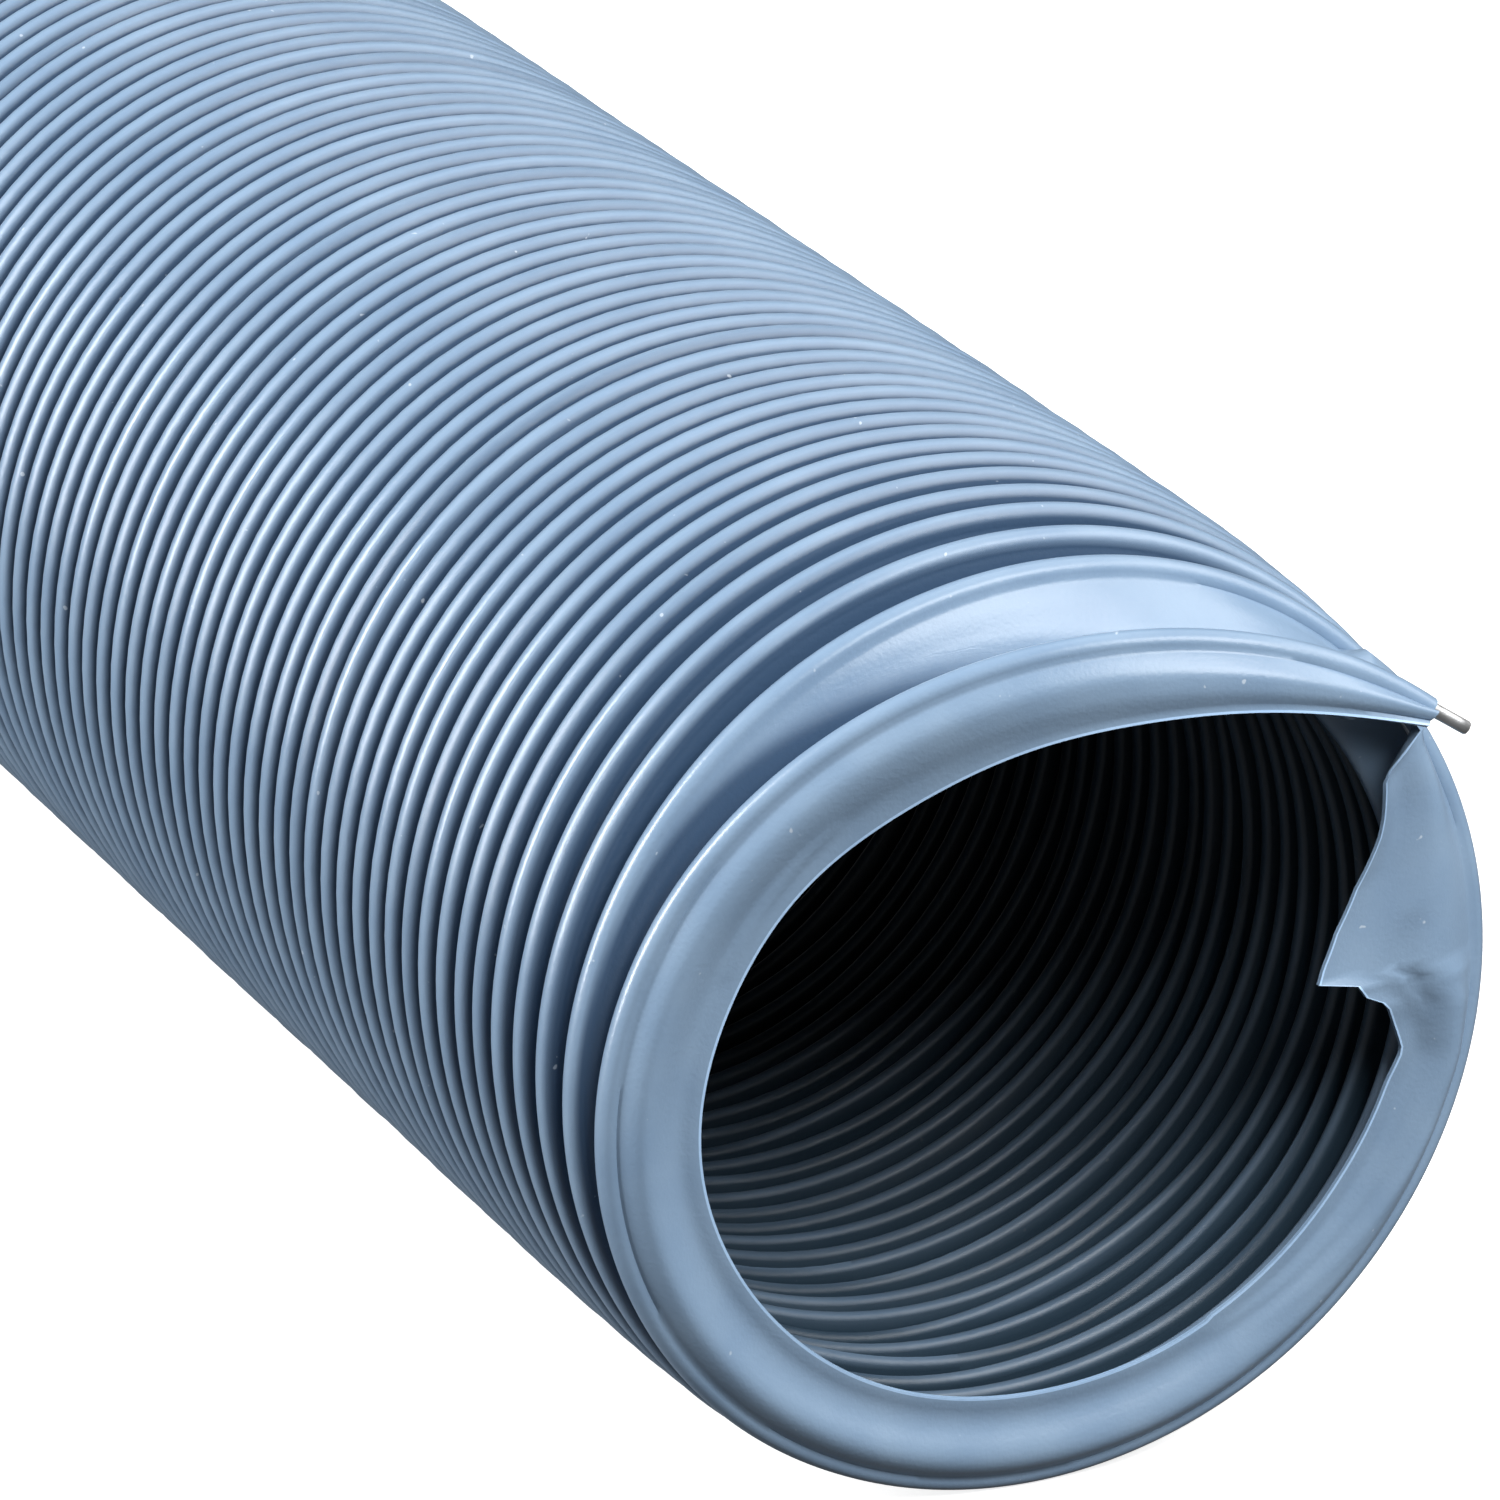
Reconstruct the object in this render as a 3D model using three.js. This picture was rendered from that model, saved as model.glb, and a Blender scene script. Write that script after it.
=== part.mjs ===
// Flexible drain hose, stored squeezed together: a vinyl film strip wound into a tube and
// bonded over a spring-wire helix. It lies along +X with its cut, loosened front end at +X.
// Clock angles are read from the front end, clockwise from straight up (+Z), with +Y at three
// o'clock. The winding is left-handed, so it comes forward as the clock angle grows.
// Millimetres, +Z up.
import * as THREE from 'three';

// Driving sizes of the hose
const hoseRadius = 42.5;
const foldRadius = 35.9;
const cutEdgeRadius = 33.7;
const turns = 62;
const pitch = 3.75;
const filmThickness = 0.35;
const foldThickness = 2;
const beadWidth = 2.3;

// Spring wire inside each bead
const wireRadius = 0.6;
const wireClearance = 0.3;
const wireStub = 4;

// The cut end, where the wire has sprung forward at its tip and the last turns have sagged inward
const endClock = 45;
const springClock = 28;
const springAmount = 15.5;
const springTurns = 0.36;
const sagClock = 324;
const sagAmount = 8.5;
const sagTurns = 2.2;
const looseSharpness = 2.45;

// The last turn's flange: its lean, the turns over which it frees itself from the fold and runs
// out at the wire's end, and the flap of film that hangs inward near its start
const flangeLean = 0.7;
const flangeStart = 0.15;
const flangeTaper = 0.17;
const flangeTip = 3;
const flapClock = 92;
const flapSpan = 50;
const flapDrop = 8;

// Flat faces round each turn, level at the bottom
const facets = 12;

const steps = turns * facets;
const flatFace = 1 / Math.cos(Math.PI / facets);
const radians = THREE.MathUtils.degToRad;

function clockAt(step) {
  return radians(endClock + (360 * (step - steps)) / facets);
}

// A loosening of the last turns: most at one clock angle, nothing opposite it, fading turn by turn
function looseness(step, clock, fadeTurns) {
  const turnsToEnd = Math.max(0, (steps - step) / facets);
  const share = (1 + Math.cos(clockAt(step) - radians(clock))) / 2;
  return Math.exp(-turnsToEnd / fadeTurns) * share ** looseSharpness;
}

function springForward(step) {
  return springAmount * looseness(step, springClock, springTurns);
}

function sagInward(step) {
  return sagAmount * looseness(step, sagClock, sagTurns);
}

// The winding starts square at the rear: half a turn lies flat before it begins to climb
function regularTravel(step) {
  const turn = step / facets;
  return turn < 1 ? Math.max(0, 2 * turn - 1) : turn;
}

function beadCentre(step) {
  return beadWidth / 2 + pitch * regularTravel(step) + springForward(step);
}

// A point of the section that passes through the hose's axis at a step
function place(step, along, radius) {
  const clock = clockAt(step);
  const outward = (radius - sagInward(step)) * flatFace;
  return new THREE.Vector3(along, outward * Math.sin(clock), outward * Math.cos(clock));
}

// Where the fold between a turn and the next one lies along the axis
function foldCentre(step) {
  return (beadCentre(step) + beadCentre(step + facets)) / 2;
}

// The radius of the cut edge, narrower at the wire's end and with the flap near the turn's start
function flangeRadius(step) {
  const turnsToEnd = (steps - step) / facets;
  const width = THREE.MathUtils.smoothstep(turnsToEnd, 0, flangeTaper);
  const fromFlap = clockAt(step) - radians(flapClock - 360);
  const nearFlap = Math.abs(fromFlap) < radians(flapSpan);
  const flap = nearFlap ? Math.cos((fromFlap / radians(flapSpan)) * (Math.PI / 2)) : 0;
  return THREE.MathUtils.lerp(hoseRadius - flangeTip, cutEdgeRadius, width) - flapDrop * flap;
}

// The film's folded line after a bead: an inward fold, or the cut edge of the last turn's flange
function foldLine(step) {
  const past = (step - (steps - facets)) / facets;
  const free = THREE.MathUtils.smoothstep(past, 0, flangeStart);
  const flange = beadCentre(step) + beadWidth / 2 + flangeLean;
  return {
    along: THREE.MathUtils.lerp(foldCentre(step), flange, free),
    radius: THREE.MathUtils.lerp(foldRadius, flangeRadius(step), free),
    depth: THREE.MathUtils.lerp(foldThickness, 0, free),
    lean: filmThickness * free,
  };
}

// Two sides of the film, outer and inner, at each of its lines
function beadSides(step, side) {
  const edge = beadCentre(step) + (side * beadWidth) / 2;
  return [
    place(step, edge, hoseRadius),
    place(step, edge - side * filmThickness, hoseRadius - filmThickness),
  ];
}

function foldSides(step) {
  const fold = foldLine(step);
  return [
    place(step, fold.along, fold.radius + fold.depth),
    place(step, fold.along - fold.lean, fold.radius),
  ];
}

// The rear cut edge lies flat for half a turn and then climbs to meet the first fold
function rearSides(step) {
  const climb = regularTravel(step);
  const firstFold = foldLine(0);
  return [
    place(step, firstFold.along * climb, firstFold.radius + firstFold.depth * climb),
    place(step, THREE.MathUtils.lerp(filmThickness, firstFold.along, climb), firstFold.radius),
  ];
}

class Skin {
  constructor() {
    this.points = [];
    this.triangles = [];
  }

  add(point) {
    this.points.push(point);
    return this.points.length - 1;
  }

  addPair(pair) {
    return pair.map((point) => this.add(point));
  }

  quad(a, b, c, d) {
    this.triangles.push(a, b, c, a, c, d);
  }

  geometry() {
    const flat = this.points.flatMap((point) => [point.x, point.y, point.z]);
    const geometry = new THREE.BufferGeometry();
    geometry.setAttribute('position', new THREE.Float32BufferAttribute(flat, 3));
    geometry.setIndex(this.triangles);
    geometry.computeVertexNormals();
    return geometry;
  }
}

// The film as one closed skin: outer sheet, inner sheet and a strip along every cut edge
function filmGeometry() {
  const skin = new Skin();
  const backs = [];
  const fronts = [];
  const folds = [];
  for (let step = 0; step <= steps; step += 1) {
    backs.push(skin.addPair(beadSides(step, -1)));
    fronts.push(skin.addPair(beadSides(step, 1)));
    folds.push(skin.addPair(foldSides(step)));
  }
  const rear = [];
  for (let step = 0; step < facets; step += 1) {
    rear.push(skin.addPair(rearSides(step)));
  }
  const before = (step) => (step < facets ? rear[step] : folds[step - facets]);
  const sheet = (a, b, nextA, nextB) => {
    skin.quad(a[0], b[0], nextB[0], nextA[0]);
    skin.quad(a[1], nextA[1], nextB[1], b[1]);
  };
  const edge = (a, b) => skin.quad(a[0], b[0], b[1], a[1]);
  for (let step = 0; step < steps; step += 1) {
    const next = step + 1;
    sheet(before(step), backs[step], before(next), backs[next]);
    sheet(backs[step], fronts[step], backs[next], fronts[next]);
    sheet(fronts[step], folds[step], fronts[next], folds[next]);
  }
  for (let step = 0; step < facets; step += 1) {
    edge(before(step), before(step + 1));
  }
  for (let step = steps - facets; step < steps; step += 1) {
    edge(folds[step + 1], folds[step]);
  }
  const lastBefore = before(steps);
  edge(lastBefore, backs[steps]);
  edge(backs[steps], fronts[steps]);
  edge(fronts[steps], folds[steps]);
  edge(backs[0], rear[0]);
  edge(fronts[0], backs[0]);
  edge(folds[0], fronts[0]);
  return skin.geometry();
}

// The wire runs through every bead and its bare end sticks out past the film
function wireGeometry() {
  const skin = new Skin();
  const coilRadius = hoseRadius - filmThickness - wireClearance - wireRadius;
  const ring = (centre, outward) => {
    const along = new THREE.Vector3(1, 0, 0);
    return [outward, along, outward.clone().negate(), along.clone().negate()].map((way) =>
      skin.add(centre.clone().addScaledVector(way, wireRadius)));
  };
  const rings = [];
  for (let step = 0; step <= steps; step += 1) {
    const clock = clockAt(step);
    const outward = new THREE.Vector3(0, Math.sin(clock), Math.cos(clock));
    rings.push(ring(place(step, beadCentre(step), coilRadius), outward));
  }
  const endOutward = new THREE.Vector3(0, Math.sin(clockAt(steps)), Math.cos(clockAt(steps)));
  const endHeading = new THREE.Vector3(0, endOutward.z, -endOutward.y);
  const endCentre = place(steps, beadCentre(steps), coilRadius);
  rings.push(ring(endCentre.addScaledVector(endHeading, wireStub), endOutward));
  for (let index = 0; index + 1 < rings.length; index += 1) {
    const here = rings[index];
    const there = rings[index + 1];
    for (let corner = 0; corner < here.length; corner += 1) {
      const next = (corner + 1) % here.length;
      skin.quad(here[corner], here[next], there[next], there[corner]);
    }
  }
  const first = rings[0];
  const last = rings[rings.length - 1];
  skin.quad(first[3], first[2], first[1], first[0]);
  skin.quad(last[0], last[1], last[2], last[3]);
  return skin.geometry();
}

const filmMaterial = new THREE.MeshStandardMaterial({
  color: 0xa9bed3,
  roughness: 0.4,
  metalness: 0,
});
const wireMaterial = new THREE.MeshStandardMaterial({
  color: 0xc9ccd0,
  roughness: 0.3,
  metalness: 1,
});

function named(name, geometry, material) {
  const mesh = new THREE.Mesh(geometry, material);
  mesh.name = name;
  return mesh;
}

// The hose rests on its beads, with its middle above the origin
const hose = new THREE.Group();
hose.add(named('film_wall', filmGeometry(), filmMaterial));
hose.add(named('spring_wire', wireGeometry(), wireMaterial));
const box = new THREE.Box3().setFromObject(hose, true);
hose.position.set(-(box.min.x + box.max.x) / 2, -(box.min.y + box.max.y) / 2, -box.min.z);

export default hose;
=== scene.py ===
"""Looks of the flexible drain hose: a vinyl film wound and folded over a spring-wire helix.

Sizes are in millimetres in the shape functions and in metres in the meshes. Clock angles are read
from the front end, clockwise from straight up. A place along the winding is given in turns from
the rear, and turns_left is what remains to the wire's end.
"""

import math

import bpy
import numpy as np
from mathutils import Matrix, Vector


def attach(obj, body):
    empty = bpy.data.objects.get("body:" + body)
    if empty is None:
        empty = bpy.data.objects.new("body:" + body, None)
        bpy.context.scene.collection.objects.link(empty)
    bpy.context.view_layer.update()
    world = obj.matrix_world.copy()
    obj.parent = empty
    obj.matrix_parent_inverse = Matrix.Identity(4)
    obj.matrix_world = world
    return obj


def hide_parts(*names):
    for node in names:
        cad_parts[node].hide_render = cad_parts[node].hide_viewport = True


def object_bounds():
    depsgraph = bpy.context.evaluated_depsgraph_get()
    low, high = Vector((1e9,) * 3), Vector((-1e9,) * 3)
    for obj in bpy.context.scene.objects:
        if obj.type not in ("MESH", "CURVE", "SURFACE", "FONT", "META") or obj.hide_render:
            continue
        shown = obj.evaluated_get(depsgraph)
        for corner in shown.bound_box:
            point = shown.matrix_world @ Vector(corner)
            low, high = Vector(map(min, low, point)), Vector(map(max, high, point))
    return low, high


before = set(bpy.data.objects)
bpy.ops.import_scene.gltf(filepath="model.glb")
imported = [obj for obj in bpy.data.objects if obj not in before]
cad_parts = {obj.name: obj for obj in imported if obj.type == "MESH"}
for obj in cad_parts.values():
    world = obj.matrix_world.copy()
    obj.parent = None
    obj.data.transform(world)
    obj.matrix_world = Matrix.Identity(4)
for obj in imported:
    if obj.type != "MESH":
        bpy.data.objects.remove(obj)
cad_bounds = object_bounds()

MM = 0.001
TINY = 1e-6

# Hose, as in the part's source
HOSE_RADIUS = 42.5
FOLD_RADIUS = 35.9
CUT_EDGE_RADIUS = 33.7
TURNS = 62
PITCH = 3.75
FILM = 0.35
BEAD_WIDTH = 2.3
WIRE_RADIUS = 0.6
WIRE_STUB = 4.0
END_CLOCK = 45
SPRING_CLOCK = 28
SPRING_AMOUNT = 15.5
SPRING_TURNS = 0.36
SAG_CLOCK = 324
SAG_AMOUNT = 8.5
SAG_TURNS = 2.2
LOOSE_SHARPNESS = 2.45

# Beads: round over the wire, a little slimmer and lifted right at the wire's end
BEAD_RADIUS = (BEAD_WIDTH - FILM) / 2
BEAD_WRAP = math.radians(112)
BEAD_TAPER = 0.22
BEAD_TAPER_TURNS = 0.03
END_FLICK = 0.7
END_FLICK_TURNS = 0.05

# Folds: the film's length down one side, the pull inward behind the wire's end, and the
# rounding of the tip, which grows with the gap between the beads
FLANK_LENGTH = 9.6
FOLD_DRAW = 3.5
FOLD_DRAW_TURNS = 0.1
FOLD_DRAW_TURNS_LEFT = 1.08
TIP_RADIUS = 0.5
TIP_PER_GAP = 0.13
TIP_MOST = 1.6

# Bellies of the flanks: at rest, added where a gap has opened, and by how much they vary
BELLY = 0.2
BELLY_OPENED = 0.4
BELLY_SWELL = 0.15
FULLY_OPENED_GAP = 6
STREAK_HEIGHT = 0.03
STREAKS_PER_FLANK = 2.6
STREAK_DRIFT = 0.35

# Wavering of the winding: how far each thing strays
BEAD_ALONG_STRAY = 0.08
BEAD_TOP_STRAY = 0.05
FOLD_ALONG_STRAY = 0.12
FOLD_RADIUS_STRAY = 0.18
CUT_EDGE_STRAY = 0.16
STRAY_FADE_PER_TURN = 4
CUT_EDGE_STRAY_TURNS = 0.1

# The seed of each ripple and about how many waves it has in a turn
RIPPLES = {
    "bead_along": (11, 1.3),
    "bead_top": (12, 1.7),
    "fold_along": (13, 2.0),
    "fold_radius": (14, 4.0),
    "cut_edge": (15, 6.0),
    "drift": (16, 0.8),
    "swell": (17, 1.5),
}
RIPPLE_WAVES = 7
RIPPLE_SPREAD = (0.4, 1.6)

# The last turn's free edge near its start: clock angle, radius, distance ahead of the bead
FLAP_EDGE = (
    (45, 39.8, 9.0),
    (53, 40.8, 6.5),
    (58.4, 41.0, 4.9),
    (58.8, 38.6, 4.9),
    (59.8, 37.0, 4.6),
    (61, 36.0, 4.4),
    (66.5, 34.4, 3.8),
    (69, 33.4, 3.7),
    (75, 30.0, 3.65),
    (81, 27.3, 4.0),
    (87, 25.6, 4.3),
    (90.3, 25.0, 4.5),
    (91, 28.6, 4.5),
    (94.3, 30.0, 3.9),
    (95.2, 31.9, 3.7),
    (98.5, 33.1, 2.9),
    (103, 34.8, 2.3),
    (108, 34.3, 2.1),
    (124, 34.0, 1.9),
    (150, 33.7, 1.85),
)

# The last turn's flange past the flap: its lean ahead of the bead, its rise at the wire's end,
# its belly, and a wave across it that starts a little before the end
FLANGE_LEAN = 1.85
FLANGE_RISE = 6.3
FLANGE_RISE_TURNS = 0.068
FLANGE_BULGE = 0.6
FLANGE_WAVE = 0.65
FLANGE_WAVE_START = 0.1
FLANGE_WAVE_TURNS = 0.2
# Width of the strip along the last turn's cut edge that takes the painted highlight
CUT_EDGE_WIDTH = 0.22

# Creases of the flange: first and last clock angle, where each lies across the flange from the
# bead (0) to the cut edge (1) at the first and the last angle, and its height
CREASES = (
    (108, 152, 0.55, 0.85, 0.42),
    (112, 148, 0.3, 0.62, 0.32),
    (285, 318, 0.9, 0.72, 0.4),
    (82, 97, 0.5, 0.62, -0.5),
)
CREASE_SHARE = 0.08
CREASE_FADE = 0.6

# Painted shade in the folds: where the folds begin to darken, how deep they are when dark, and how
# both grow with the gap
SHADE_START = 0.1
SHADE_DEPTH = 0.75
SHADE_START_PER_GAP = 0.62
SHADE_DEPTH_PER_GAP = 0.4
# How tightly the painted highlight on the crests inside the bore keeps to the crest
CREST_SHARPNESS = 34

# Meshes. The inside of the last turns, up to INSIDE_FADE from the wire's end, has no painted bore
# shade and looks like the outside
FLOOR_TO_AXIS = HOSE_RADIUS
REAR = cad_bounds[0][0] / MM
SHARP_ANGLE = math.radians(65)
INSIDE_FADE = 1.1
# Material slots: outside, inside, and the paler cut edge, which is a painted highlight
OUTSIDE, INSIDE, CUT_EDGE = 0, 1, 2
WIRE_STATIONS_PER_TURN = 72
WIRE_SIDES = 8
WIRE_STUB_SHARES = (0.35, 0.7, 1.0)

# Runs of the film: name, first and last turn, stations in a turn, rows of a flank and of a bead.
# The front turns are finer, and the runs meet below the hose.
RUNS = (
    ("film_rear", 0.0, TURNS - 35.625, 96, 3, 7),
    ("film_middle", TURNS - 35.625, TURNS - 9.625, 96, 3, 7),
    ("film_forward", TURNS - 9.625, TURNS - 3.625, 144, 4, 7),
    ("film_front", TURNS - 3.625, float(TURNS), 288, 14, 9),
)

# Vinyl: colours, with painted shade for the folds and the bore and a paler painted highlight for the
# cut edge, and the glossy coat over them
FILM_DARKER = (0.17, 0.255, 0.37)
FILM_LIGHTER = (0.205, 0.295, 0.41)
CLOUD_SPAN = (0.3, 0.7)
# Painted shade: the colour the outer skin takes deep in the folds
FOLD_PAINTED_SHADE_COLOUR = (0.035, 0.068, 0.125, 1)
# Painted shade: the colour the inner skin takes in the bore behind the front turns
BORE_PAINTED_SHADE_COLOUR = (0.008, 0.021, 0.034, 1)
SPECK_COLOUR = (0.62, 0.68, 0.74, 1)
# How much paler the cut edge is painted, a painted highlight
CUT_EDGE_PAINTED_HIGHLIGHT = 1.9
SPECULAR = 0.5
COAT = 0.45
COAT_ROUGHNESS = 0.3
# Painted bore shade: how fast it comes in behind the front turns, how dark it gets, and how much of it
# the crests keep
BORE_FADE_TURNS = 0.4
BORE_PAINTED_SHADE_AMOUNT = 0.93
CREST_PAINTED_SHADE_KEPT = 0.62
ROUGHNESS_OUTSIDE = 0.3
ROUGHNESS_INSIDE = 0.36
ROUGHNESS_STRAY = (-0.05, 0.07)
SPECK_SPAN = (0.785, 0.82)
SPECK_MOST = 0.5
CLOUD_SCALE = 120.0
SPECK_SCALE = 1000.0
GRAIN_SCALE = 2500.0
STREAK_SCALE = 3.0
STREAK_STRETCH = (8.0, 60.0, 1.0)
BUMP_STRENGTH = 0.25
BUMP_DISTANCE = 0.00012

# Spring wire
STEEL_DARKER = (0.62, 0.63, 0.64, 1)
STEEL_LIGHTER = (0.86, 0.87, 0.88, 1)
STEEL_ROUGHNESS = (0.4, 0.6)
STEEL_SCALE = 900.0

# Camera: the hose lies level, seen a little from above and from its left. The anchor is a point
# on the hose's axis, in hose radii from the camera: right, down and away.
CAMERA_ELEVATION = math.radians(19.42)
CAMERA_AZIMUTH = math.radians(-23.07)
SENSOR = 36.0
PHOTO_PIXELS = 1500
FOCAL_PIXELS = 10961
ANCHOR_IN_VIEW = (0.489, 0.472, 21.41)
ANCHOR_ALONG = 226.5
CLIP_START = 0.01

# Floor and lamps. A lamp has its place (right, up, away from the camera) from the aim in metres,
# its size, power and colour, and whether the film mirrors it.
FLOOR_HALF = 20.0
FLOOR_GREY = (0.6, 0.6, 0.6, 1)
FLOOR_ROUGHNESS = 0.9
FLOOR_GLOW = 0.8
WORLD_STRENGTH = 0.12
WHITE = (1.0, 1.0, 1.0)
WARM = (1.0, 0.96, 0.9)
LAMP_AIM = (0.05, 0, 0.04)
LAMPS = (
    ("left", (-1.0, 0.38, -0.1), (0.35, 0.75), 17, WHITE, True),
    ("top", (0.5, 1.3, 0.2), (1.6, 1.6), 9, WARM, True),
    ("top_soft", (0.5, 1.3, 0.2), (1.6, 1.6), 11, WARM, False),
    ("right", (1.1, 0.8, 0), (1.0, 1.0), 9, WHITE, True),
    ("front", (0.5, 0.95, -0.8), (0.8, 0.6), 11, WHITE, True),
    ("front_soft", (0.5, 0.95, -0.8), (0.8, 0.6), 14, WHITE, False),
)


# Winding

def clock(turn):
    return np.radians(END_CLOCK - 360.0 * (TURNS - turn))


def last_turn_angle(turn):
    """Clock angle in degrees, growing from END_CLOCK over the last turn."""
    return END_CLOCK + 360.0 * (1 - (TURNS - turn))


def looseness(turn, at_clock, fade_turns):
    turns_left = np.maximum(0.0, TURNS - turn)
    share = (1 + np.cos(clock(turn) - math.radians(at_clock))) / 2
    return np.exp(-turns_left / fade_turns) * share**LOOSE_SHARPNESS


def ripple(turn, name):
    """A smooth, seeded wobble along the winding, about one in size."""
    seed, per_turn = RIPPLES[name]
    draw = np.random.default_rng(seed)
    rates = per_turn * draw.uniform(*RIPPLE_SPREAD, RIPPLE_WAVES)
    phases = draw.uniform(0, 2 * math.pi, RIPPLE_WAVES)
    waves = np.sin(2 * math.pi * np.multiply.outer(turn, rates) + phases)
    return waves.sum(axis=-1) / math.sqrt(RIPPLE_WAVES)


def regular_travel(turn):
    """Turns travelled along the axis: none for the first half turn, which lies square."""
    return np.where(turn < 1, np.maximum(0.0, 2 * turn - 1), turn)


def stray_share(turn):
    """How freely the winding strays: not at all at the flat rear end and at the wire's end."""
    return np.clip(turn, 0, 1) * np.clip((TURNS - turn) * STRAY_FADE_PER_TURN, 0, 1)


def bead_along(turn):
    spring = SPRING_AMOUNT * looseness(turn, SPRING_CLOCK, SPRING_TURNS)
    stray = BEAD_ALONG_STRAY * ripple(turn, "bead_along") * stray_share(turn)
    return BEAD_WIDTH / 2 + PITCH * regular_travel(turn) + spring + stray


def bead_top(turn):
    sag = SAG_AMOUNT * looseness(turn, SAG_CLOCK, SAG_TURNS)
    stray = BEAD_TOP_STRAY * (1 + ripple(turn, "bead_top")) * stray_share(turn)
    flick = END_FLICK * np.exp(-np.maximum(0.0, TURNS - turn) / END_FLICK_TURNS)
    return HOSE_RADIUS - sag - np.maximum(0.0, stray) + flick


def fold_gap(turn):
    return bead_along(turn + 1) - bead_along(turn)


def fold_tip(turn):
    """Where the inward fold after a turn's bead has its tip: along and radius."""
    gap = fold_gap(turn)
    slack = np.sqrt(np.maximum(1.0, FLANK_LENGTH**2 - (gap / 2) ** 2))
    depth = np.minimum(HOSE_RADIUS - FOLD_RADIUS, slack)
    middle = (bead_along(turn) + bead_along(turn + 1)) / 2
    along = middle + FOLD_ALONG_STRAY * ripple(turn, "fold_along")
    radius = (bead_top(turn) + bead_top(np.minimum(turn + 1, TURNS))) / 2 - depth
    from_draw = (TURNS - FOLD_DRAW_TURNS_LEFT - turn) / FOLD_DRAW_TURNS
    drawn_in = FOLD_DRAW * np.exp(-(from_draw**2))
    return along, radius - drawn_in + FOLD_RADIUS_STRAY * ripple(turn, "fold_radius")


def tip_radius(turn):
    return np.clip(TIP_PER_GAP * fold_gap(turn), TIP_RADIUS, TIP_MOST)


def rear_edge(turn):
    """The rear cut edge: flat for half a turn, then up to the first fold."""
    climb = regular_travel(turn)
    along, radius = fold_tip(np.zeros_like(turn))
    return FILM / 2 + (along - FILM / 2) * climb, radius


def flange_edge(turn):
    """The cut edge of the last turn: the flap, the flange and its run-out at the wire's end."""
    turns_left = TURNS - turn
    angle = last_turn_angle(turn)
    clocks, radii, aheads = np.array(FLAP_EDGE).T
    near_start = angle <= clocks[-1]
    settled = np.clip(turns_left / CUT_EDGE_STRAY_TURNS, 0, 1)
    radius = CUT_EDGE_RADIUS + FLANGE_RISE * np.exp(-turns_left / FLANGE_RISE_TURNS)
    radius = radius + CUT_EDGE_STRAY * ripple(turn, "cut_edge") * settled
    radius = np.where(near_start, np.interp(angle, clocks, radii), radius)
    ahead = np.where(near_start, np.interp(angle, clocks, aheads), FLANGE_LEAN)
    sag = HOSE_RADIUS - bead_top(turn)
    return bead_along(turn) + ahead, radius - sag


# Section of the film, row by row from the fold behind a bead to the fold ahead of it

def across(way):
    """Unit vectors square to the given ones, in the plane of the section."""
    side = np.stack([-way[..., 1], way[..., 0]], axis=-1)
    return side / np.maximum(TINY, np.linalg.norm(side, axis=-1, keepdims=True))


def flank(start, end, count, belly):
    """Rows strictly between two points, bulged sideways by belly, which is given per row."""
    shares = (np.arange(count) + 1) / (count + 1)
    way = end - start
    rows = start[:, None, :] + way[:, None, :] * shares[None, :, None]
    return rows + across(way)[:, None, :] * belly(shares)[..., None]


def creases(turn, shares):
    """Height of the narrow ridges and dents pressed into the last turn's flange."""
    angle = last_turn_angle(turn)
    ridges = np.zeros((len(turn), len(shares)))
    for first, last, share_first, share_last, height in CREASES:
        along = (angle - first) / (last - first)
        window = np.sin(math.pi * np.clip(along, 0, 1)) ** CREASE_FADE
        middle = share_first + (share_last - share_first) * along
        off_middle = (shares[None, :] - middle[:, None]) / CREASE_SHARE
        ridges += height * window[:, None] * np.exp(-(off_middle**2))
    return ridges


def tip_rows(tip, rounding, side):
    """Two rows that round a fold's tip, nearest the tip first."""
    corner = rounding * (1 - math.sqrt(0.5))
    near = np.stack([tip[:, 0] + side * (rounding - corner), tip[:, 1] + corner], axis=-1)
    far = np.stack([tip[:, 0] + side * rounding, tip[:, 1] + rounding], axis=-1)
    return near, far


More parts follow.
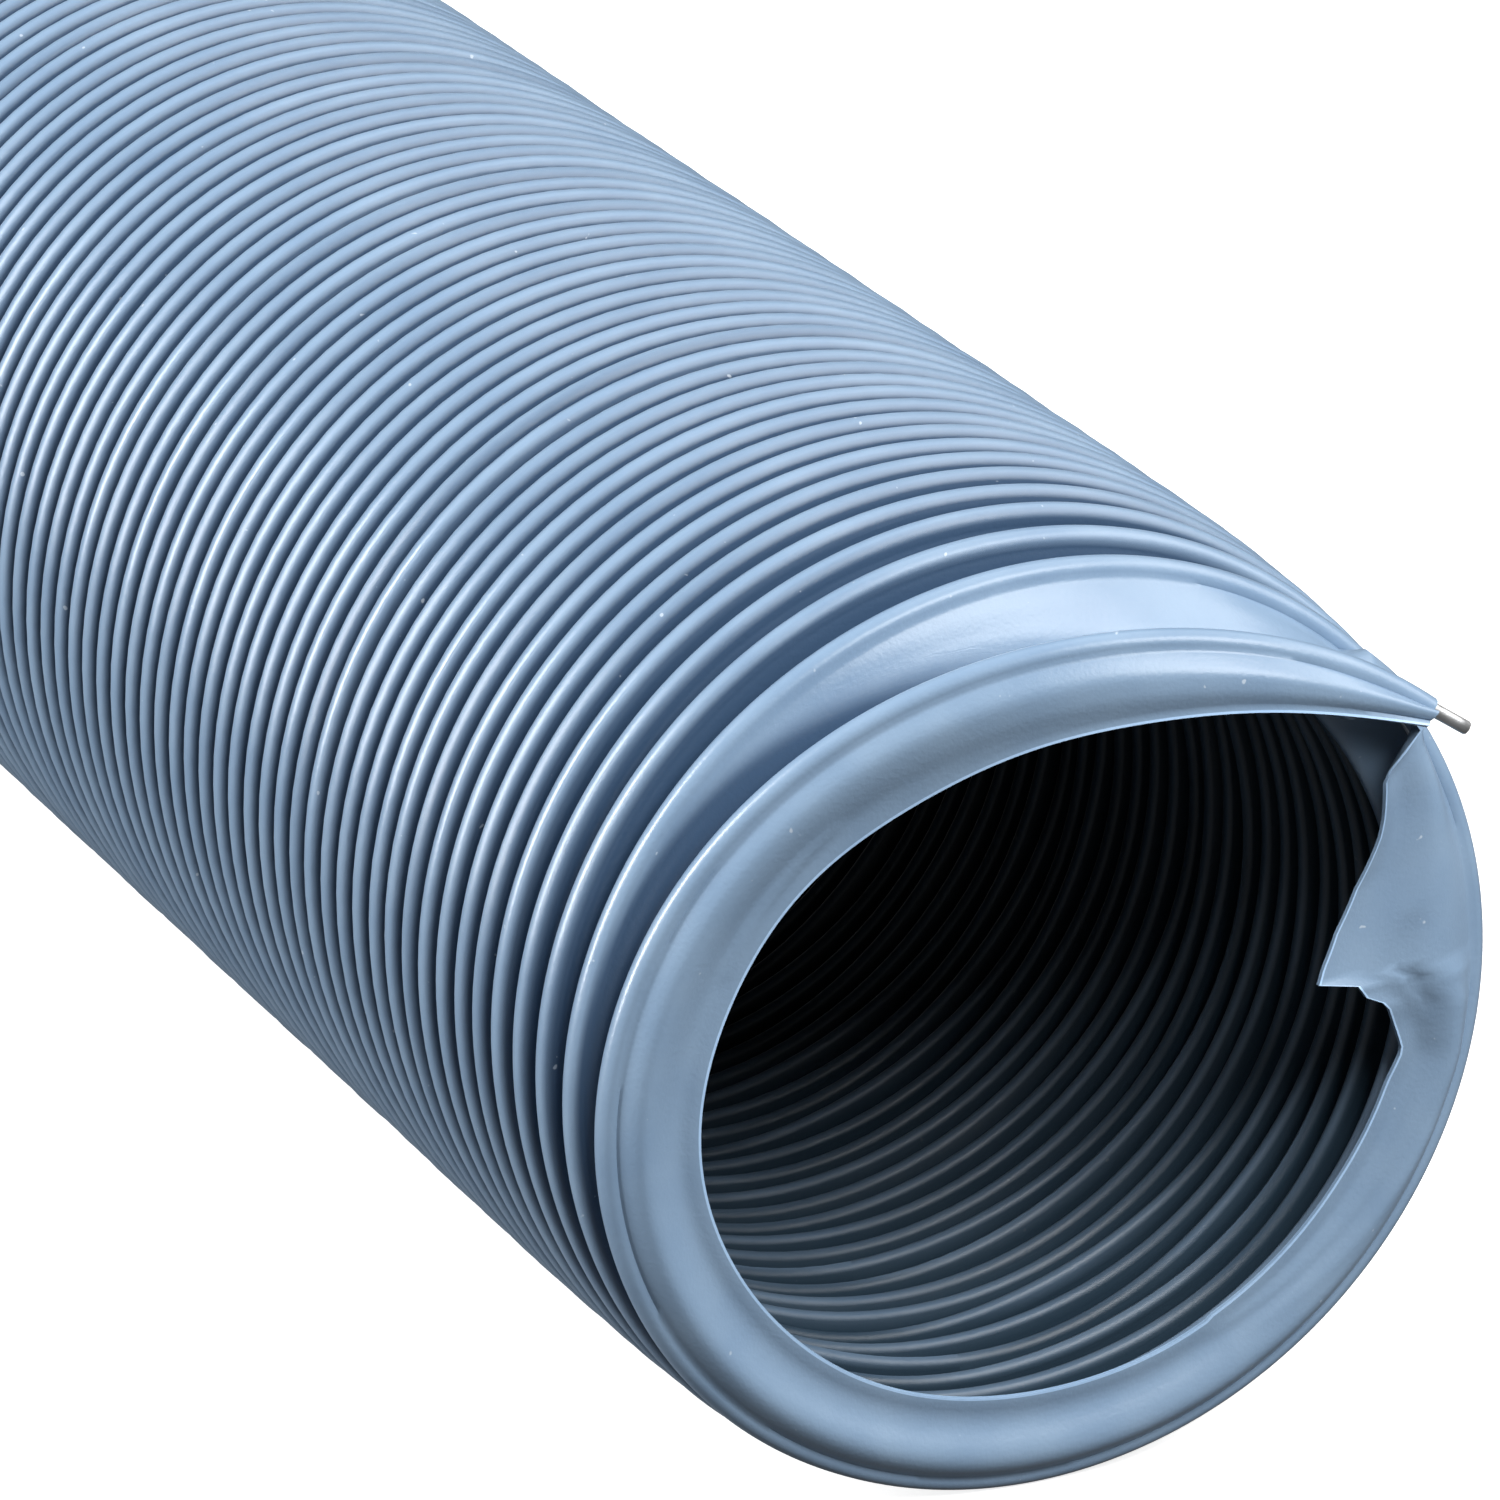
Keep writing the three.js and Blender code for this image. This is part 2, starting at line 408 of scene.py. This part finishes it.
def section(turn, flank_rows, bead_rows):
    """Middle line of the film as (stations, rows, 2) of along and radius."""
    last = turn > TURNS - 1
    first = turn < 1
    taper = np.clip((TURNS - turn) / BEAD_TAPER_TURNS, 0, 1)
    bead = (BEAD_RADIUS - BEAD_TAPER * (1 - taper))[:, None]
    middle = (bead_top(turn) - FILM / 2 - BEAD_RADIUS)[:, None]
    angles = np.linspace(-BEAD_WRAP, BEAD_WRAP, bead_rows)
    arc_along = bead_along(turn)[:, None] + bead * np.sin(angles)
    arc = np.stack([arc_along, middle + bead * np.cos(angles)], axis=-1)
    behind = np.stack(np.where(first, rear_edge(turn), fold_tip(turn - 1)), axis=-1)
    ahead = np.stack(np.where(last, flange_edge(turn), fold_tip(turn)), axis=-1)
    near_behind, far_behind = tip_rows(behind, np.where(first, 0.0, tip_radius(turn - 1)), 1)
    near_ahead, far_ahead = tip_rows(ahead, np.where(last, 0.0, tip_radius(turn)), -1)
    up_flange = arc[:, -1] - ahead
    up_flange /= np.linalg.norm(up_flange, axis=-1, keepdims=True)
    near_ahead = np.where(last[:, None], ahead + CUT_EDGE_WIDTH * up_flange, near_ahead)
    far_ahead = np.where(last[:, None], ahead + 3 * CUT_EDGE_WIDTH * up_flange, far_ahead)
    opened = np.clip((fold_gap(turn) - PITCH) / FULLY_OPENED_GAP, 0, 1)
    free = np.where(last, 1.0, opened)
    drift = ripple(turn, "drift")
    swell = ripple(turn, "swell")

    def front_belly(shares):
        bulge = BELLY + BELLY_OPENED * opened + FLANGE_BULGE * last + BELLY_SWELL * swell
        bow = np.sin(math.pi * shares)[None, :]
        phase = STREAKS_PER_FLANK * shares[None, :] + STREAK_DRIFT * drift[:, None]
        streak = STREAK_HEIGHT * free[:, None] * np.sin(2 * math.pi * phase) * bow
        settled = last * np.clip((TURNS - turn - FLANGE_WAVE_START) / FLANGE_WAVE_TURNS, 0, 1)
        wave = FLANGE_WAVE * np.sin(2 * math.pi * shares)[None, :] * settled[:, None]
        return bow * bulge[:, None] + wave + creases(turn, shares) + streak

    def rear_belly(shares):
        return np.sin(math.pi * shares)[None, :] * (BELLY + BELLY_SWELL * drift)[:, None]

    rear = flank(far_behind, arc[:, 0], flank_rows, rear_belly)
    front = flank(arc[:, -1], far_ahead, flank_rows, front_belly)
    before = [row[:, None] for row in (behind, near_behind, far_behind)]
    after = [row[:, None] for row in (far_ahead, near_ahead, ahead)]
    return np.concatenate(before + [rear, arc, front] + after, axis=1)


def skins(turn, flank_rows, bead_rows):
    """Outer and inner skin of the film, half its thickness to each side of the middle line."""
    rows = section(turn, flank_rows, bead_rows)
    side = across(np.gradient(rows, axis=1))
    side[turn >= 1, 0] = (0, 1)
    side[turn <= TURNS - 1, -1] = (0, 1)
    return rows + side * FILM / 2, rows - side * FILM / 2


def fold_shade(turn, rows):
    """Share of painted shade for each row, by how deep it lies in the fold beside it: 0 in the open, 1
    where little light reaches.
    """
    depth = bead_top(turn)[:, None] - rows[..., 1]
    behind = rows[..., 0] < bead_along(turn)[:, None]
    gap = np.where(behind, fold_gap(turn - 1)[:, None], fold_gap(turn)[:, None]) - PITCH
    flange = (turn > TURNS - 1)[:, None] & ~behind
    past_start = depth - SHADE_START - SHADE_START_PER_GAP * gap
    share = np.clip(past_start / (SHADE_DEPTH + SHADE_DEPTH_PER_GAP * gap), 0, 1)
    return np.where(flange, 0.0, share * share * (3 - 2 * share))


def crest_shine(turn, rows):
    """How near each row of the inner skin lies to the crest of a fold, which catches the light; it
    eases the painted bore shade there, a painted highlight.
    """
    depth = bead_top(turn)[:, None] - rows[..., 1]
    return np.clip(depth / (HOSE_RADIUS - FOLD_RADIUS), 0, 1) ** CREST_SHARPNESS


# Meshes

def in_space(turn, rows):
    """Sections turned about the hose's axis, in metres."""
    angle = clock(turn)[:, None]
    along, radius = rows[..., 0], rows[..., 1]
    points = [REAR + along, radius * np.sin(angle), FLOOR_TO_AXIS + radius * np.cos(angle)]
    return np.stack(points, axis=-1) * MM


def make_mesh(name, points, faces, sharp_angle=None, strip_values=None, material_of_face=None):
    mesh = bpy.data.meshes.new(name)
    mesh.from_pydata(points.tolist(), [], faces)
    mesh.polygons.foreach_set("use_smooth", [True] * len(mesh.polygons))
    if material_of_face is not None:
        mesh.polygons.foreach_set("material_index", material_of_face)
    if strip_values is not None:
        strip = mesh.attributes.new("strip", "FLOAT_VECTOR", "POINT")
        strip.data.foreach_set("vector", strip_values.astype(np.float32).ravel())
    mesh.validate()
    if sharp_angle is not None:
        mesh.set_sharp_from_angle(angle=sharp_angle)
    piece = bpy.data.objects.new(name, mesh)
    bpy.context.scene.collection.objects.link(piece)
    return piece


def film_piece(name, start, end, per_turn, flank_rows, bead_rows):
    """A run of the film as one closed mesh: both skins, joined along every edge of the run.

    The last row of a section is the first row of the section one turn on. Only in the run's last
    turn, which has no turn after it, does the last row have points of its own. Each point's
    strip value holds its turn, its painted fold shade (outer skin) or painted crest highlight (inner
    skin), and its skin.
    """
    stations = int(round((end - start) * per_turn))
    turn = start + np.arange(stations + 1) / per_turn
    turn[-1] = end
    pair = skins(turn, flank_rows, bead_rows)
    span = pair[0].shape[1] - 1
    first_extra = stations - per_turn + 1
    extra = np.arange(first_extra, stations + 1)
    points, values = [], []
    for side, rows in enumerate(pair):
        spots = in_space(turn, rows)
        points += [spots[:, :span].reshape(-1, 3), spots[extra, span]]
        shade = crest_shine(turn, rows) if side else fold_shade(turn, rows)
        turns = np.broadcast_to(turn[:, None], shade.shape)
        about = np.stack([turns, shade, np.full(shade.shape, side)], axis=-1)
        values += [about[:, :span].reshape(-1, 3), about[extra, span]]
    per_skin = (stations + 1) * span + len(extra)

    def index(skin, station, row):
        shared = (station + per_turn) * span
        own = (stations + 1) * span + station - first_extra
        last_row = np.where(station + per_turn <= stations, shared, own)
        return skin * per_skin + np.where(row < span, station * span + row, last_row)

    station, row = np.meshgrid(np.arange(stations), np.arange(span), indexing="ij")
    station, row = station.ravel(), row.ravel()
    corners = ((station, row), (station, row + 1), (station + 1, row + 1), (station + 1, row))

    def skin_faces(skin, order):
        return np.stack([index(skin, *corners[corner]) for corner in order], axis=-1)

    def rim(stations_a, rows_a, stations_b, rows_b):
        path = ((0, stations_a, rows_a), (0, stations_b, rows_b),
                (1, stations_b, rows_b), (1, stations_a, rows_a))
        return np.stack([index(*corner) for corner in path], axis=-1)

    low = np.arange(per_turn)
    high = np.arange(stations - per_turn, stations)
    line = np.arange(span)
    faces = [
        skin_faces(0, (0, 1, 2, 3)),
        skin_faces(1, (3, 2, 1, 0)),
        rim(low, np.zeros_like(low), low + 1, np.zeros_like(low)),
        rim(high + 1, np.full_like(high, span), high, np.full_like(high, span)),
        rim(np.zeros_like(line), line + 1, np.zeros_like(line), line),
        rim(np.full_like(line, stations), line, np.full_like(line, stations), line + 1),
    ]
    face_turn = station / per_turn + start
    per_side = len(station)
    # Rims and the outer strip along the last turn's cut edge take the paler material, a painted
    # highlight
    material_of_face = np.full(sum(len(group) for group in faces), CUT_EDGE)
    material_of_face[:per_side] = OUTSIDE
    material_of_face[:per_side][(row == span - 1) & (face_turn >= TURNS - 1)] = CUT_EDGE
    # Faces of the inner skin deeper in the bore, where the material paints shade
    in_painted_dark_bore = face_turn < TURNS - INSIDE_FADE
    material_of_face[per_side:2 * per_side] = np.where(in_painted_dark_bore, INSIDE, OUTSIDE)
    return make_mesh(name, np.concatenate(points), np.concatenate(faces).tolist(), SHARP_ANGLE,
                     np.concatenate(values), material_of_face)


def wire_piece(name):
    """The spring wire, a tube through every bead with a bare, cut end."""
    turn = np.arange(TURNS * WIRE_STATIONS_PER_TURN + 1) / WIRE_STATIONS_PER_TURN
    radius = bead_top(turn) - FILM / 2 - BEAD_RADIUS
    centre = in_space(turn, np.stack([bead_along(turn), radius], axis=-1)[:, None])[:, 0]
    outward = np.stack([np.zeros_like(turn), np.sin(clock(turn)), np.cos(clock(turn))], axis=-1)
    heading = centre[-1] - centre[-2]
    heading /= np.linalg.norm(heading)
    reach = np.array(WIRE_STUB_SHARES) * WIRE_STUB * MM
    centre = np.concatenate([centre, centre[-1] + reach[:, None] * heading])
    outward = np.concatenate([outward, np.repeat(outward[-1:], len(reach), axis=0)])
    way = np.gradient(centre, axis=0)
    way /= np.linalg.norm(way, axis=-1, keepdims=True)
    sideways = np.cross(way, outward)
    sideways /= np.linalg.norm(sideways, axis=-1, keepdims=True)
    outward = np.cross(sideways, way)
    angles = (np.arange(WIRE_SIDES) * 2 * math.pi / WIRE_SIDES)[:, None]
    ring = np.cos(angles) * outward[:, None] + np.sin(angles) * sideways[:, None]
    points = (centre[:, None] + WIRE_RADIUS * MM * ring).reshape(-1, 3)
    station, side = np.meshgrid(np.arange(len(centre) - 1), np.arange(WIRE_SIDES), indexing="ij")
    here, side = station.ravel() * WIRE_SIDES, side.ravel()
    following = (side + 1) % WIRE_SIDES
    there = here + WIRE_SIDES
    faces = np.stack([here + side, here + following, there + following, there + side], axis=-1)
    first_cap = list(range(WIRE_SIDES - 1, -1, -1))
    last_cap = list(range(len(points) - WIRE_SIDES, len(points)))
    return make_mesh(name, points, faces.tolist() + [first_cap, last_cap])


# Materials

def new_material(name):
    material = bpy.data.materials.new(name)
    material.use_nodes = True
    return material, material.node_tree, material.node_tree.nodes["Principled BSDF"]


def add(tree, kind, **settings):
    """A node whose settings are values of its sockets or else its own properties."""
    node = tree.nodes.new(kind)
    for key, value in settings.items():
        if key in node.inputs:
            node.inputs[key].default_value = value
        else:
            setattr(node, key, value)
    return node


def noise(tree, vector, scale, detail):
    node = add(tree, "ShaderNodeTexNoise", Scale=scale, Detail=detail)
    tree.links.new(vector, node.inputs["Vector"])
    return node.outputs["Fac"]


def remap(tree, value, to_span, from_span=(0.0, 1.0)):
    node = add(tree, "ShaderNodeMapRange")
    node.inputs["From Min"].default_value, node.inputs["From Max"].default_value = from_span
    node.inputs["To Min"].default_value, node.inputs["To Max"].default_value = to_span
    tree.links.new(value, node.inputs["Value"])
    return node.outputs["Result"]


def operate(tree, operation, first, second):
    node = add(tree, "ShaderNodeMath", operation=operation)
    tree.links.new(first, node.inputs[0])
    tree.links.new(second, node.inputs[1])
    return node.outputs["Value"]


def ramp(tree, value, first_colour, last_colour, span=(0.0, 1.0)):
    node = add(tree, "ShaderNodeValToRGB")
    for stop, place, colour in zip(node.color_ramp.elements, span, (first_colour, last_colour)):
        stop.position = place
        stop.color = colour
    tree.links.new(value, node.inputs["Fac"])
    return node.outputs["Color"]


def blend(tree, share, base, colour):
    """The base tinted towards one colour by a share."""
    node = add(tree, "ShaderNodeMix", data_type="RGBA")
    node.inputs["B"].default_value = colour
    tree.links.new(share, node.inputs["Factor"])
    tree.links.new(base, node.inputs["A"])
    return node.outputs["Result"]


def paler(colour, paleness):
    return tuple(paleness * channel for channel in colour) + (1,)


def vinyl_material(name, paleness=1.0):
    material, tree, shader = new_material(name)
    shader.inputs["Specular IOR Level"].default_value = SPECULAR
    shader.inputs["Coat Weight"].default_value = COAT
    shader.inputs["Coat Roughness"].default_value = COAT_ROUGHNESS
    strip = add(tree, "ShaderNodeAttribute", attribute_name="strip").outputs["Vector"]
    parts = add(tree, "ShaderNodeSeparateXYZ")
    tree.links.new(strip, parts.inputs[0])
    turn, shade, skin = parts.outputs
    spot = add(tree, "ShaderNodeTexCoord").outputs["Object"]

    # Outside: cloudy, with painted shade in the folds and pale specks
    cloud = noise(tree, spot, CLOUD_SCALE, 4.0)
    colour = ramp(tree, cloud, paler(FILM_DARKER, paleness), paler(FILM_LIGHTER, paleness), CLOUD_SPAN)
    on_outer_skin = remap(tree, skin, (1.0, 0.0))
    colour = blend(tree, operate(tree, "MULTIPLY", shade, on_outer_skin), colour, FOLD_PAINTED_SHADE_COLOUR)
    specks = remap(tree, noise(tree, spot, SPECK_SCALE, 1.0), (0.0, SPECK_MOST), SPECK_SPAN)
    colour = blend(tree, specks, colour, SPECK_COLOUR)

    # Inside: painted shade behind the front turns, less of it on the crests of the folds, a painted
    # highlight
    fade_start = TURNS - INSIDE_FADE
    past_front = remap(tree, turn, (0.0, BORE_PAINTED_SHADE_AMOUNT), (fade_start, fade_start - BORE_FADE_TURNS))
    in_painted_dark_bore = operate(tree, "MULTIPLY", past_front, skin)
    off_crest = remap(tree, shade, (1.0, CREST_PAINTED_SHADE_KEPT))
    colour = blend(tree, operate(tree, "MULTIPLY", in_painted_dark_bore, off_crest), colour, BORE_PAINTED_SHADE_COLOUR)
    tree.links.new(colour, shader.inputs["Base Color"])

    # Gloss that varies, and fine relief: streaks along the winding and a grain
    sheen = remap(tree, in_painted_dark_bore, (ROUGHNESS_OUTSIDE, ROUGHNESS_INSIDE))
    worn = remap(tree, cloud, ROUGHNESS_STRAY)
    tree.links.new(operate(tree, "ADD", sheen, worn), shader.inputs["Roughness"])
    stretched = add(tree, "ShaderNodeVectorMath", operation="MULTIPLY")
    stretched.inputs[1].default_value = STREAK_STRETCH
    tree.links.new(strip, stretched.inputs[0])
    streaks = noise(tree, stretched.outputs["Vector"], STREAK_SCALE, 5.0)
    grain = noise(tree, spot, GRAIN_SCALE, 2.0)
    bump = add(tree, "ShaderNodeBump", Strength=BUMP_STRENGTH, Distance=BUMP_DISTANCE)
    tree.links.new(operate(tree, "ADD", streaks, grain), bump.inputs["Height"])
    tree.links.new(bump.outputs["Normal"], shader.inputs["Normal"])
    return material


def steel_material():
    material, tree, shader = new_material("spring_steel")
    shader.inputs["Metallic"].default_value = 1.0
    spot = add(tree, "ShaderNodeTexCoord").outputs["Object"]
    draw = noise(tree, spot, STEEL_SCALE, 3.0)
    tree.links.new(ramp(tree, draw, STEEL_DARKER, STEEL_LIGHTER), shader.inputs["Base Color"])
    tree.links.new(remap(tree, draw, STEEL_ROUGHNESS), shader.inputs["Roughness"])
    return material


# Camera, floor and light

def make_camera():
    """Places the camera and returns its directions: to the right, and back towards it."""
    toward = Vector((
        math.cos(CAMERA_ELEVATION) * math.cos(CAMERA_AZIMUTH),
        math.cos(CAMERA_ELEVATION) * math.sin(CAMERA_AZIMUTH),
        math.sin(CAMERA_ELEVATION),
    ))
    right = Vector((0, 0, 1)).cross(toward).normalized()
    up = toward.cross(right)
    anchor = Vector((REAR + ANCHOR_ALONG, 0, FLOOR_TO_AXIS)) * MM
    sideways, down, away = (value * HOSE_RADIUS * MM for value in ANCHOR_IN_VIEW)
    data = bpy.data.cameras.new("camera")
    data.sensor_width = SENSOR
    data.lens = SENSOR * FOCAL_PIXELS / PHOTO_PIXELS
    data.clip_start = CLIP_START
    camera = bpy.data.objects.new("camera", data)
    turned = Matrix((right, up, toward)).transposed().to_4x4()
    turned.translation = anchor - right * sideways + up * down + toward * away
    camera.matrix_world = turned
    bpy.context.scene.collection.objects.link(camera)
    bpy.context.scene.camera = camera
    return right, toward


def make_floor():
    """A pale floor with a little glow, which neither lights the hose nor shows in its gloss."""
    half = FLOOR_HALF
    corners = np.array([[-half, -half, 0], [half, -half, 0], [half, half, 0], [-half, half, 0]])
    floor = make_mesh("floor", corners, [[0, 1, 2, 3]])
    material, _, shader = new_material("floor_white")
    shader.inputs["Base Color"].default_value = FLOOR_GREY
    shader.inputs["Roughness"].default_value = FLOOR_ROUGHNESS
    shader.inputs["Emission Color"].default_value = (1, 1, 1, 1)
    shader.inputs["Emission Strength"].default_value = FLOOR_GLOW
    floor.data.materials.append(material)
    floor.visible_diffuse = False
    floor.visible_glossy = False


def area_light(name, place, aim, size, power, colour, mirrored):
    data = bpy.data.lights.new(name, "AREA")
    data.shape = "RECTANGLE"
    data.size, data.size_y = size
    data.energy = power
    data.color = colour
    lamp = bpy.data.objects.new(name, data)
    lamp.location = place
    lamp.rotation_euler = (aim - place).to_track_quat("-Z", "Y").to_euler()
    lamp.visible_camera = False
    lamp.visible_glossy = mirrored
    bpy.context.scene.collection.objects.link(lamp)


def make_lights(right, toward):
    aim = Vector(LAMP_AIM)
    above = Vector((0, 0, 1))
    away = Vector((-toward.x, -toward.y, 0)).normalized()
    for name, (across_by, up_by, away_by), size, power, colour, mirrored in LAMPS:
        place = aim + right * across_by + above * up_by + away * away_by
        area_light(name, place, aim, size, power, colour, mirrored)
    world = bpy.data.worlds.new("studio")
    world.use_nodes = True
    background = world.node_tree.nodes["Background"]
    background.inputs["Color"].default_value = (1, 1, 1, 1)
    background.inputs["Strength"].default_value = WORLD_STRENGTH
    bpy.context.scene.world = world


# Scene

make_lights(*make_camera())
make_floor()

VINYL = (
    vinyl_material("vinyl_film"),
    vinyl_material("vinyl_film_inside"),
    # The cut edge's material is painted paler, a painted highlight
    vinyl_material("vinyl_film_cut_edge_painted_highlight", CUT_EDGE_PAINTED_HIGHLIGHT),
)
for name, start, end, per_turn, flank_rows, bead_rows in RUNS:
    film = film_piece(name, start, end, per_turn, flank_rows, bead_rows)
    for vinyl in VINYL:
        film.data.materials.append(vinyl)
    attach(film, "root")
    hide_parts("film_wall")

wire = wire_piece("wire_helix")
wire.data.materials.append(steel_material())
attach(wire, "root")
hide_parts("spring_wire")

bpy.context.scene.view_settings.view_transform = "Standard"
